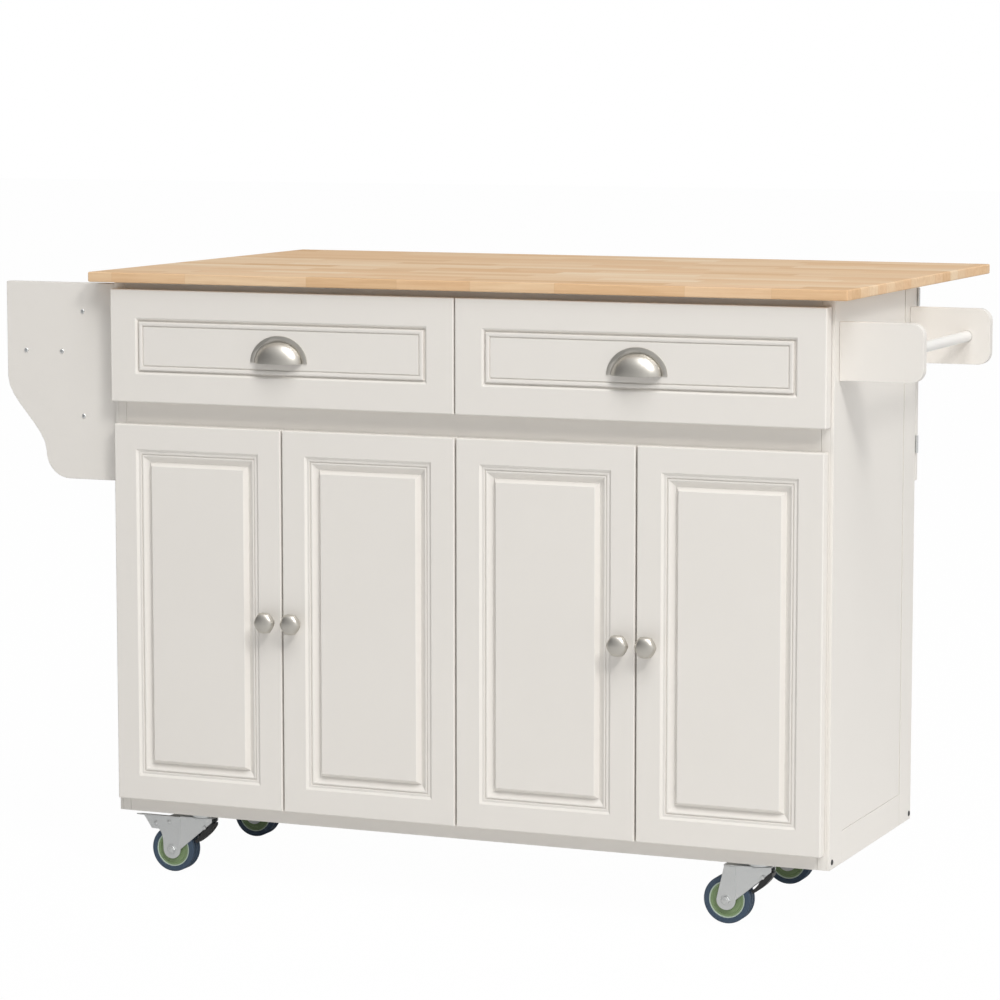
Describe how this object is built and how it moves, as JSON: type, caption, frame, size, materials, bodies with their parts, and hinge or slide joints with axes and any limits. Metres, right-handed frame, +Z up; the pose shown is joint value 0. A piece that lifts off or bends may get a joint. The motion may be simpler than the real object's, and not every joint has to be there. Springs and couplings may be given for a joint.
{
  "type": "drop leaf kitchen island",
  "caption": "Painted kitchen island on casters with a butcher block top, a hinged rear leaf on swing brackets, drawers, panelled doors, a bottle rack and a towel rail.",
  "frame": {"origin": "on the floor, under the middle of the whole part's box at rest, with the leaf up and the brackets folded", "axes": "+X along the worktop towards the towel rail, +Y from the doors towards the leaf, +Z up"},
  "size_m": [1.436, 0.7486, 0.915],
  "materials": {
    "paint": "satin off-white paint on board",
    "painted_rod": "satin white paint on rod",
    "butcher_block": "finger-jointed staves, clear satin",
    "drawer_wood": "bare pale board",
    "nickel": "brushed nickel",
    "zinc": "zinc plated sheet",
    "wheel_rubber": "matt dark blue-grey",
    "hub_plastic": "matt green",
    "black_plastic": "matt black"
  },
  "bodies": {
    "cabinet": {"side_panel_left": "paint", "side_panel_right": "paint", "bottom_board": "paint", "centre_partition": "paint", "back_panel": "paint", "middle_rail": "paint", "top_rail": "paint", "shelf_left": "paint", "shelf_right": "paint", "rack_wing_front": "paint", "rack_wing_rear": "paint", "rack_board": "paint", "bottle_shelf": "paint", "towel_arm_front": "paint", "towel_arm_rear": "paint", "bottle_guard": "painted_rod", "rack_towel_rod": "painted_rod", "towel_bar": "painted_rod", "worktop": "butcher_block", "bracket_hinge_left_upper": "zinc", "bracket_hinge_left_lower": "zinc", "bracket_hinge_right_upper": "zinc", "bracket_hinge_right_lower": "zinc", "caster_plate_front_left": "zinc", "caster_plate_front_right": "zinc", "caster_plate_rear_left": "zinc", "caster_plate_rear_right": "zinc"},
    "drawer_left": {"drawer_front_left": "paint", "drawer_box_left": "drawer_wood", "cup_pull_left": "nickel"},
    "drawer_right": {"drawer_front_right": "paint", "drawer_box_right": "drawer_wood", "cup_pull_right": "nickel"},
    "door_1": {"door_1": "paint", "knob_1": "nickel"},
    "door_2": {"door_2": "paint", "knob_2": "nickel"},
    "door_3": {"door_3": "paint", "knob_3": "nickel"},
    "door_4": {"door_4": "paint", "knob_4": "nickel"},
    "leaf": {"drop_leaf": "butcher_block", "leaf_hinge_left": "zinc", "leaf_hinge_right": "zinc"},
    "bracket_left": {"bracket_left": "paint"},
    "bracket_right": {"bracket_right": "paint"},
    "fork_front_left": {"caster_fork_front_left": "zinc"},
    "wheel_front_left": {"wheel_hub_front_left": "hub_plastic", "wheel_tyre_front_left": "wheel_rubber"},
    "fork_front_right": {"caster_fork_front_right": "zinc"},
    "wheel_front_right": {"wheel_hub_front_right": "hub_plastic", "wheel_tyre_front_right": "wheel_rubber"},
    "fork_rear_left": {"caster_fork_rear_left": "zinc"},
    "wheel_rear_left": {"wheel_hub_rear_left": "hub_plastic", "wheel_tyre_rear_left": "wheel_rubber"},
    "fork_rear_right": {"caster_fork_rear_right": "zinc"},
    "wheel_rear_right": {"wheel_hub_rear_right": "hub_plastic", "wheel_tyre_rear_right": "wheel_rubber"},
    "pedal_left": {"brake_pedal_left": "black_plastic"},
    "pedal_right": {"brake_pedal_right": "black_plastic"}
  },
  "joints": [
    {"name": "drawer_left_slide", "type": "slide", "parent": "cabinet", "child": "drawer_left", "axis": [0, -1, 0], "range_m": [0, 0.3]},
    {"name": "drawer_right_slide", "type": "slide", "parent": "cabinet", "child": "drawer_right", "axis": [0, -1, 0], "range_m": [0, 0.3]},
    {"name": "door_1_swing", "type": "hinge", "parent": "cabinet", "child": "door_1", "pos_m": [-0.5225, -0.348, 0.4035], "axis": [0, 0, 1], "range_deg": [-100, 0]},
    {"name": "door_2_swing", "type": "hinge", "parent": "cabinet", "child": "door_2", "pos_m": [0.03225, -0.348, 0.4035], "axis": [0, 0, 1], "range_deg": [0, 100]},
    {"name": "door_3_swing", "type": "hinge", "parent": "cabinet", "child": "door_3", "pos_m": [0.03475, -0.348, 0.4035], "axis": [0, 0, 1], "range_deg": [-100, 0]},
    {"name": "door_4_swing", "type": "hinge", "parent": "cabinet", "child": "door_4", "pos_m": [0.5895, -0.348, 0.4035], "axis": [0, 0, 1], "range_deg": [0, 100]},
    {"name": "leaf_drop", "type": "hinge", "parent": "cabinet", "child": "leaf", "pos_m": [0.0335, 0.08555, 0.8967], "axis": [-1, 0, 0], "range_deg": [0, 90]},
    {"name": "bracket_left_swing", "type": "hinge", "parent": "cabinet", "child": "bracket_left", "pos_m": [-0.5322, 0.0713, 0.75325], "axis": [0, 0, -1], "range_deg": [-90, 0]},
    {"name": "bracket_right_swing", "type": "hinge", "parent": "cabinet", "child": "bracket_right", "pos_m": [0.5992, 0.0713, 0.75325], "axis": [0, 0, 1], "range_deg": [-90, 0]},
    {"name": "caster_front_left_swivel", "type": "hinge", "parent": "cabinet", "child": "fork_front_left", "pos_m": [-0.4125, -0.2832, 0.0854], "axis": [0, 0, 1], "continuous": true},
    {"name": "wheel_front_left_spin", "type": "hinge", "parent": "fork_front_left", "child": "wheel_front_left", "pos_m": [-0.4585, -0.2832, 0.035], "axis": [0, 1, 0], "continuous": true},
    {"name": "brake_left_press", "type": "hinge", "parent": "fork_front_left", "child": "pedal_left", "pos_m": [-0.4045, -0.2832, 0.0719], "axis": [0, 1, 0], "range_deg": [0, 25]},
    {"name": "caster_front_right_swivel", "type": "hinge", "parent": "cabinet", "child": "fork_front_right", "pos_m": [0.4795, -0.2832, 0.0854], "axis": [0, 0, 1], "continuous": true},
    {"name": "wheel_front_right_spin", "type": "hinge", "parent": "fork_front_right", "child": "wheel_front_right", "pos_m": [0.4335, -0.2832, 0.035], "axis": [0, 1, 0], "continuous": true},
    {"name": "brake_right_press", "type": "hinge", "parent": "fork_front_right", "child": "pedal_right", "pos_m": [0.4875, -0.2832, 0.0719], "axis": [0, 1, 0], "range_deg": [0, 25]},
    {"name": "caster_rear_left_swivel", "type": "hinge", "parent": "cabinet", "child": "fork_rear_left", "pos_m": [-0.4125, -0.0052, 0.0854], "axis": [0, 0, 1], "continuous": true},
    {"name": "wheel_rear_left_spin", "type": "hinge", "parent": "fork_rear_left", "child": "wheel_rear_left", "pos_m": [-0.4585, -0.0052, 0.035], "axis": [0, 1, 0], "continuous": true},
    {"name": "caster_rear_right_swivel", "type": "hinge", "parent": "cabinet", "child": "fork_rear_right", "pos_m": [0.4795, -0.0052, 0.0854], "axis": [0, 0, 1], "continuous": true},
    {"name": "wheel_rear_right_spin", "type": "hinge", "parent": "fork_rear_right", "child": "wheel_rear_right", "pos_m": [0.4335, -0.0052, 0.035], "axis": [0, 1, 0], "continuous": true}
  ]
}
